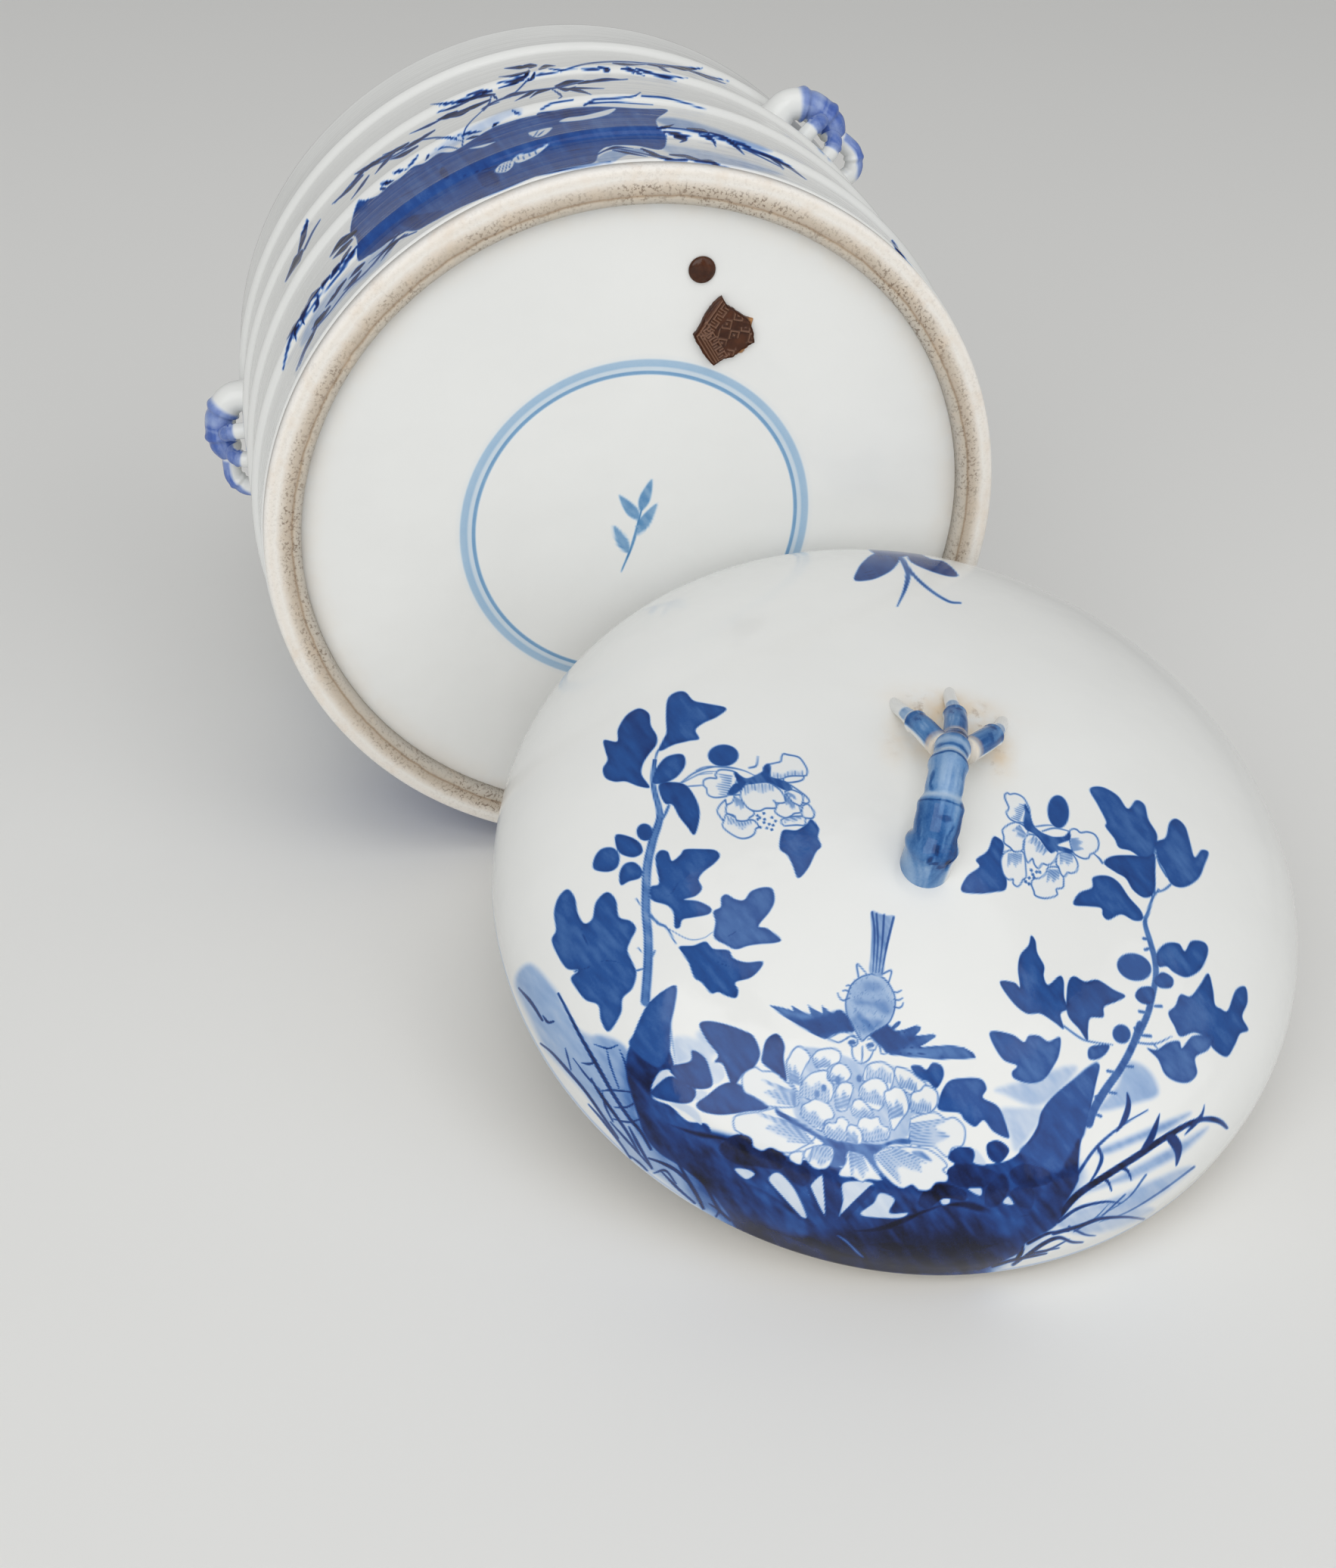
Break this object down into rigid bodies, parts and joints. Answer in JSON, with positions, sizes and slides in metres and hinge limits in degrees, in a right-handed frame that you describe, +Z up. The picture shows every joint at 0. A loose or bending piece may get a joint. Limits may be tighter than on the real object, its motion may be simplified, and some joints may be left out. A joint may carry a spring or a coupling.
{
  "type": "lidded porcelain container",
  "caption": "Round porcelain container with a ribbed wall, bamboo-shaped handles and a domed lid with a bamboo finial, painted in blue.",
  "frame": {"origin": "on the floor, under the middle of the container and the lid leaning on it", "axes": "+Z up, +Y along the lying container from its foot to its mouth, +X to the right as seen from the foot"},
  "size_m": [0.299, 0.3628, 0.2292],
  "materials": {
    "porcelain": "clear glossy glaze over white porcelain with blue painting under it",
    "blue_stem": "glossy glaze over a blue wash",
    "biscuit": "unglazed, worn and speckled",
    "sealing_wax": "brown sealing wax, half glossy"
  },
  "bodies": {
    "container": {"container_shell": "porcelain", "foot_ring": "biscuit", "handle_right_low_stem": "blue_stem", "handle_right_low_twig_upper": "porcelain", "handle_right_low_twig_lower": "porcelain", "handle_right_low_twig_loop": "porcelain", "handle_right_high_stem": "blue_stem", "handle_right_high_twig_upper": "porcelain", "handle_right_high_twig_lower": "porcelain", "handle_right_high_twig_loop": "porcelain", "handle_left_high_stem": "blue_stem", "handle_left_high_twig_upper": "porcelain", "handle_left_high_twig_lower": "porcelain", "handle_left_high_twig_loop": "porcelain", "handle_left_low_stem": "blue_stem", "handle_left_low_twig_upper": "porcelain", "handle_left_low_twig_lower": "porcelain", "handle_left_low_twig_loop": "porcelain", "wax_drop": "sealing_wax", "wax_seal": "sealing_wax"},
    "lid": {"lid_dome": "porcelain", "lid_flange": "porcelain", "finial_stem": "blue_stem", "finial_twig_left": "porcelain", "finial_twig_middle": "porcelain", "finial_twig_right": "porcelain"}
  },
  "joints": [
    {"name": "lid_lift", "type": "slide", "parent": "container", "child": "lid", "axis": [0, -0.3746, 0.9272], "range_m": [0, 0.2]}
  ]
}
